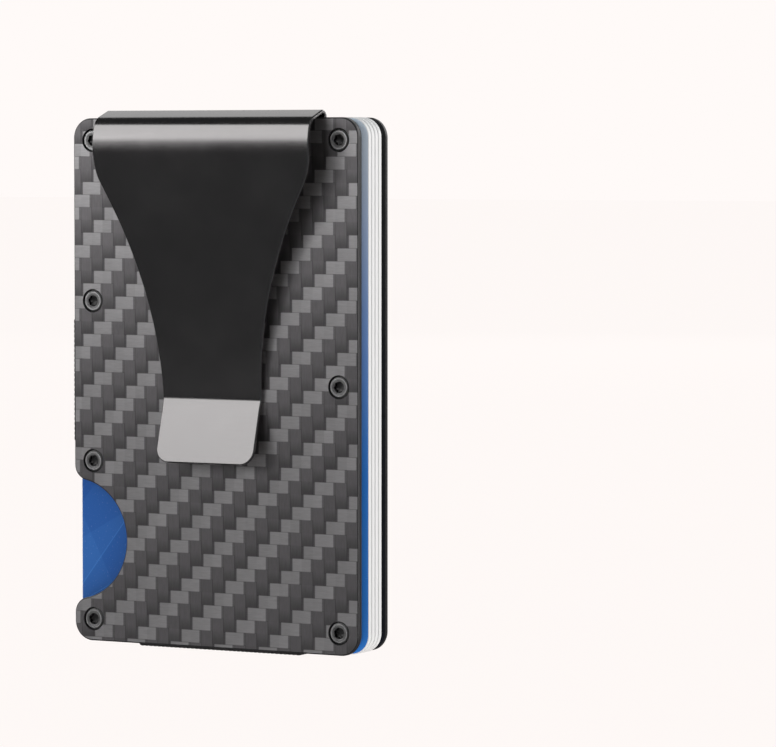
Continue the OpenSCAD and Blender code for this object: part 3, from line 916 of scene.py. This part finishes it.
def strap_path(node, side):
    """Middle line of a strap as (y, out) points; out is how far they lie towards the strap's side."""
    s = sizes("strap")
    low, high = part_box(node)
    out = {"up": high.z, "down": -low.z, "left": -low.x}[side] - s.thick / 2
    inner = {"up": low.z, "down": -high.z, "left": -high.x}[side]
    r = s.turn
    back = high.y - s.thick / 2
    front = low.y + s.thick / 2
    if node == "elastic_top":
        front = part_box("clip_tang")[1].y + 0.05 * MM + s.thick / 2
    steps = 10
    path = [(front, inner + (out - r - inner) * n / steps) for n in range(steps)]
    path += arc(front + r, out - r, r, 180, 90, 8)
    across = 24
    path += [(front + r + (back - front - 2 * r) * n / across, out) for n in range(1, across)]
    path += arc(back - r, out - r, r, 90, 0, 8)
    path += [(back, out - r - (out - r - inner) * n / steps) for n in range(1, steps + 1)]
    return path


def make_strap(name, node, side, finish):
    """One ribbed elastic strap, bent over its edge."""
    s = sizes("strap")
    low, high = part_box(node)
    if side == "left":
        middle, half = (low.z + high.z) / 2, (high.z - low.z) / 2
    else:
        middle, half = (low.x + high.x) / 2, (high.x - low.x) / 2
    path = strap_path(node, side)
    per_rib = 6
    ribs = round(2 * half / s.rib)
    count = ribs * per_rib
    bm = bmesh.new()
    weave = bm.loops.layers.uv.new("weave")
    rings, travel = [], [0.0]
    for a, b in zip(path, path[1:]):
        travel.append(travel[-1] + math.hypot(b[0] - a[0], b[1] - a[1]))
    place = {}
    for n, (y, out) in enumerate(path):
        before, after = path[max(0, n - 1)], path[min(len(path) - 1, n + 1)]
        step = Vector((after[0] - before[0], after[1] - before[1])).normalized()
        normal = Vector((-step.y, step.x))
        loop = []
        for face in (1, -1):
            order = range(count + 1) if face > 0 else range(count, -1, -1)
            for m in order:
                w = -half + 2 * half * m / count
                wave = abs(math.sin(math.pi * m / per_rib))
                end = 1.0 if 0 < m < count else 0.35
                thick = s.thick / 2 * end - s.rib_high * (1 - wave) * (0.5 if end == 1.0 else 0.0)
                spot = Vector((y, out)) + normal * thick * face
                if side == "left":
                    point = (-spot.y, spot.x, middle + w)
                else:
                    point = (middle + w, spot.x, spot.y if side == "up" else -spot.y)
                vertex = bm.verts.new(point)
                place[vertex] = (w + half, travel[n])
                loop.append(vertex)
        rings.append(loop)
    skin(bm, rings)
    for end in (rings[0], rings[-1]):
        bmesh.ops.triangulate(bm, faces=[bm.faces.new(end)])
    for face in bm.faces:
        for corner in face.loops:
            corner[weave].uv = place[corner.vert]
    thing = piece(name, bm, finish, sharp=50.0)
    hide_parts(node)
    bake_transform(thing)


class WALLET_OT_straps(bpy.types.Operator):
    """Makes the three elastic straps"""
    bl_idname = "wallet.straps"
    bl_label = "Elastic straps"

    def execute(self, context):
        finish = woven_elastic()
        make_strap("upper_strap", "elastic_top", "up", finish)
        make_strap("lower_strap", "elastic_bottom", "down", finish)
        make_strap("side_strap", "elastic_side", "left", finish)
        return {"FINISHED"}


# ---------------------------------------------------------------- tag holder

class WALLET_OT_bezel(bpy.types.Operator):
    """Turns the bezel and sinks its two screw seats"""
    bl_idname = "wallet.bezel"
    bl_label = "Bezel"

    def execute(self, context):
        h, s = sizes("holder"), sizes("screw")
        low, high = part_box("tracker_bezel")
        base, tall, outer = low.y, high.y - low.y, (high.x - low.x) / 2
        centre = ((low.x + high.x) / 2, (low.z + high.z) / 2)
        rim, soft = 0.35 * MM, 0.15 * MM
        crest = (h.window + h.bead) / 2
        lip = tall - h.lip
        profile = [(h.seat, 0), (outer, 0)]
        quarter = [math.radians(90 * n / 20) for n in range(21)]
        foot = h.bead + soft
        profile += [(foot + (outer - foot) * math.cos(t), rim + (h.crown - rim) * math.sin(t))
                    for t in quarter]
        profile += [(h.bead + 0.06 * MM, h.crown - 0.06 * MM), (h.bead, h.crown - 0.2 * MM)]
        profile += [(crest + (h.bead - crest) * math.cos(t), h.foot + (tall - h.foot) * math.sin(t))
                    for t in quarter]
        profile += [(crest - (crest - h.window) * math.sin(t), lip + soft + (h.lip - soft) * math.cos(t))
                    for t in quarter[1:]]
        profile += [(h.window, lip), (h.seat, lip)]
        black = satin_black()
        thing = lathe("tag_bezel", [(r, base + y) for r, y in profile], centre, black, sharp=40.0)
        cutter = bmesh.new()
        for side in (-1, 1):
            x, z = centre[0] + side * h.screw_at, centre[1]
            for r, start in ((s.head + 0.17 * MM, base + h.screw_seat), (1.0 * MM, base - MM)):
                loops = [ring(cutter, [(a, y, b) for a, b in arc(x, z, r, 0, 360, 48)[:-1]])
                         for y in (start, base + tall + MM)]
                skin(cutter, loops)
                for loop in loops:
                    cutter.faces.new(loop)
        tool = piece("bezel cutter", cutter, black)
        cut = thing.modifiers.new("screw seats", "BOOLEAN")
        cut.object, cut.operation, cut.solver, cut.use_self = tool, "DIFFERENCE", "EXACT", True
        baked(thing)
        bpy.data.objects.remove(tool)
        thing.data.set_sharp_from_angle(angle=math.radians(40))
        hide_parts("tracker_bezel")
        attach(thing, "back_half")
        return {"FINISHED"}


class WALLET_OT_tag(bpy.types.Operator):
    """Makes the finder tag's polished lid and finishes the pieces inside the holder"""
    bl_idname = "wallet.tag"
    bl_label = "Finder tag"

    def execute(self, context):
        low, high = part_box("tracker_cover")
        centre = ((low.x + high.x) / 2, (low.z + high.z) / 2)
        outer = (high.x - low.x) / 2
        dome = sizes("holder").dome
        rise = [(outer * math.cos(t), high.y - 0.12 * MM + (0.12 * MM + dome) * math.sin(t) ** 0.5)
                for t in [math.radians(90 * n / 24) for n in range(1, 24)]]
        profile = [(0, low.y), (outer, low.y), (outer, high.y - 0.15 * MM)] + rise + [(0, high.y + dome)]
        lid = lathe("tag_lid", profile, centre, tag_lid(), sharp=30.0)
        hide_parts("tracker_cover")
        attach(lid, "back_half")
        inside = {
            "tracker_shell": plain_finish("gloss white shell", (0.72, 0.72, 0.71), (0.86, 0.86, 0.85),
                                          0.2, 300.0),
            "tracker_pad": plain_finish("foam ring", (0.02, 0.02, 0.02), (0.07, 0.07, 0.07), 0.8, 4000.0),
            "tracker_battery": plain_finish("nickel can", (0.5, 0.49, 0.47), (0.7, 0.69, 0.67),
                                            0.22, 600.0, 1.0),
            "tracker_board": plain_finish("green solder mask", (0.01, 0.12, 0.04), (0.03, 0.26, 0.10),
                                          0.35, 900.0),
        }
        for node, finish in inside.items():
            coat(node, finish)
        return {"FINISHED"}


# ---------------------------------------------------------------- plates and cards

class WALLET_OT_inner_plates(bpy.types.Operator):
    """Finishes the two inner plates"""
    bl_idname = "wallet.inner_plates"
    bl_label = "Inner plates"

    def execute(self, context):
        finish = anodised_plate()
        for node in ("front_inner_plate", "back_inner_plate"):
            coat(node, finish)
        return {"FINISHED"}


def make_card(node, face_finish, back_finish, core):
    """A card with rounded corners and softened edges."""
    low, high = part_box(node)
    corner, soft = 3.18 * MM, 0.14 * MM
    bm = bmesh.new()
    rings = []
    left, right, bottom, top = low.x + corner, high.x - corner, low.z + corner, high.z - corner
    for y, inset in ((low.y, soft), (low.y + soft * 0.3, soft * 0.3), (low.y + soft, 0.0),
                     (high.y - soft, 0.0), (high.y - soft * 0.3, soft * 0.3), (high.y, soft)):
        points = []
        for cx, cz, start in ((right, bottom, -90), (right, top, 0), (left, top, 90), (left, bottom, 180)):
            points += arc(cx, cz, corner - inset, start, start + 90, 12)
        rings.append(ring(bm, [(x, y, z) for x, z in points]))
    skin(bm, rings, 2)
    cap(bm, rings[0], material=0)
    cap(bm, rings[-1], material=1)
    thing = piece("stored_" + node, bm, face_finish, back_finish, core)
    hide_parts(node)
    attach(thing, node)


class WALLET_OT_cards(bpy.types.Operator):
    """Makes the cards in the bay"""
    bl_idname = "wallet.cards"
    bl_label = "Cards"

    def execute(self, context):
        core = card_stock()
        make_card("card_1", printed_card("front card print", "card_1"), core, core)
        make_card("card_2", core, core, core)
        make_card("card_3", core, core, core)
        make_card("card_4", core, printed_card("back card print", "card_4"), core)
        return {"FINISHED"}


# ---------------------------------------------------------------- stage

MIDDLE = Vector((0, 0, 0.043))


def softbox(name, at, size, power, glossy=True, diffuse=True):
    """A rectangular studio light aimed at the wallet; glossy and diffuse say what it lights."""
    data = bpy.data.lights.new(name, "AREA")
    data.shape, data.size, data.size_y = "RECTANGLE", size[0], size[1]
    data.energy = power
    thing = bpy.data.objects.new(name, data)
    thing.visible_glossy, thing.visible_diffuse = glossy, diffuse
    thing.location = at
    thing.rotation_euler = (MIDDLE - at).to_track_quat("-Z", "Y").to_euler()
    bpy.context.collection.objects.link(thing)


def around(azimuth, elevation, away):
    """A point seen from the wallet at that azimuth and elevation, in degrees."""
    a, e = math.radians(azimuth), math.radians(elevation)
    return MIDDLE + away * Vector((math.sin(a) * math.cos(e), -math.cos(a) * math.cos(e), math.sin(e)))


def studio_world():
    """Pale to the eye, dim to polished surfaces."""
    world = bpy.data.worlds.new("studio")
    world.use_nodes = True
    tree = world.node_tree
    tree.nodes.clear()
    new, link = tree.nodes.new, tree.links.new
    path, pick, choose = new("ShaderNodeLightPath"), new("ShaderNodeMixShader"), new("ShaderNodeMixShader")
    link(path.outputs["Is Glossy Ray"], pick.inputs[0])
    link(path.outputs["Is Camera Ray"], choose.inputs[0])
    for rgb, strength, slot in (((0.95, 0.97, 1.0), 0.18, pick.inputs[1]),
                                ((0.9, 0.92, 0.95), 0.045, pick.inputs[2]),
                                ((1.0, 0.956, 0.939), 1.0, choose.inputs[2])):
        sky = new("ShaderNodeBackground")
        sky.inputs[0].default_value = (*rgb, 1)
        sky.inputs[1].default_value = strength
        link(sky.outputs[0], slot)
    link(pick.outputs[0], choose.inputs[1])
    link(choose.outputs[0], new("ShaderNodeOutputWorld").inputs[0])
    bpy.context.scene.world = world


def pale_floor():
    """A wide pale floor that melts into the backdrop."""
    f = Finish("pale floor")
    speck = f.grain(60.0, 3.0)
    tint = f.mix(speck, (0.007, 0.0067, 0.0067), (0.010, 0.0096, 0.0096))
    return f.surface(Base_Color=tint, Roughness=0.9, Specular_IOR_Level=0.0,
                     Emission_Color=(0.985, 0.937, 0.918), Emission_Strength=1.0)


class WALLET_OT_stage(bpy.types.Operator):
    """Sets up the floor, the studio lights and the camera"""
    bl_idname = "wallet.stage"
    bl_label = "Stage"

    def execute(self, context):
        g = sizes("stage")
        scene = context.scene
        scene.view_settings.view_transform = "Standard"
        bm = bmesh.new()
        half = 6.0
        bm.faces.new(ring(bm, [(-half, -half, 0), (half, -half, 0), (half, half, 0), (-half, half, 0)]))
        floor = piece("floor", bm, pale_floor())
        floor.visible_glossy = floor.visible_shadow = False
        studio_world()
        softbox("cover reflector", around(-46, 10, 0.9), (0.3, 0.2), 0.5, diffuse=False)
        softbox("left reflector", around(-36, 29, 0.32), (0.4, 0.15), 0.31)
        softbox("low reflector", around(-34, -26, 0.4), (0.5, 0.10), 0.07, diffuse=False)
        softbox("back reflector", around(216, 33, 1.1), (1.3, 0.55), 1.7)
        softbox("key", around(-42, 9, 1.2), (0.22, 0.22), 2.9, glossy=False)
        softbox("front fill", around(58, 8, 1.4), (0.7, 0.7), 3.2, glossy=False)
        softbox("top", around(20, 84, 1.1), (0.9, 0.5), 1.5, glossy=False)
        softbox("back key", around(200, 14, 1.2), (0.4, 0.4), 5.0, glossy=False)
        softbox("back lower reflector", around(152, 20, 0.45), (0.6, 0.2), 0.5)
        softbox("open side", around(100, 12, 1.2), (0.5, 1.0), 5.0)
        softbox("notch side", around(-100, 12, 1.2), (0.5, 1.0), 3.0)
        right = Vector((math.cos(g.turn), math.sin(g.turn), 0))
        camera = bpy.data.objects.new("camera", bpy.data.cameras.new("camera"))
        context.collection.objects.link(camera)
        camera.data.sensor_width = 36
        camera.data.lens = g.lens
        camera.data.clip_start, camera.data.clip_end = 0.01, 20
        camera.location = Vector((math.sin(g.turn), -math.cos(g.turn), 0)) * g.away + Vector((0, 0, g.high))
        aim = right * g.aim_right + Vector((0, 0, g.aim_high))
        camera.rotation_euler = (aim - camera.location).to_track_quat("-Z", "Y").to_euler()
        scene.camera = camera
        return {"FINISHED"}


class WALLET_PT_parts(bpy.types.Panel):
    """Lists the pieces of the wallet"""
    bl_label = "Clip wallet"
    bl_idname = "WALLET_PT_parts"
    bl_space_type = "VIEW_3D"
    bl_region_type = "UI"
    bl_category = "Wallet"

    def draw(self, context):
        for operator in OPERATORS:
            self.layout.operator(operator.bl_idname)


OPERATORS = (WALLET_OT_covers, WALLET_OT_inner_plates, WALLET_OT_screws, WALLET_OT_clip, WALLET_OT_straps,
             WALLET_OT_bezel, WALLET_OT_tag, WALLET_OT_cards, WALLET_OT_stage)


def register():
    for group in GROUPS.values():
        bpy.utils.register_class(group)
    for name, group in GROUPS.items():
        setattr(bpy.types.Scene, name, PointerProperty(type=group))
    for operator in OPERATORS:
        bpy.utils.register_class(operator)
    bpy.utils.register_class(WALLET_PT_parts)


def unregister():
    bpy.utils.unregister_class(WALLET_PT_parts)
    for operator in reversed(OPERATORS):
        bpy.utils.unregister_class(operator)
    for name, group in GROUPS.items():
        delattr(bpy.types.Scene, name)
        bpy.utils.unregister_class(group)


def main():
    register()
    for operator in OPERATORS:
        group, name = operator.bl_idname.split(".")
        getattr(getattr(bpy.ops, group), name)()


if __name__ == "__main__":
    main()
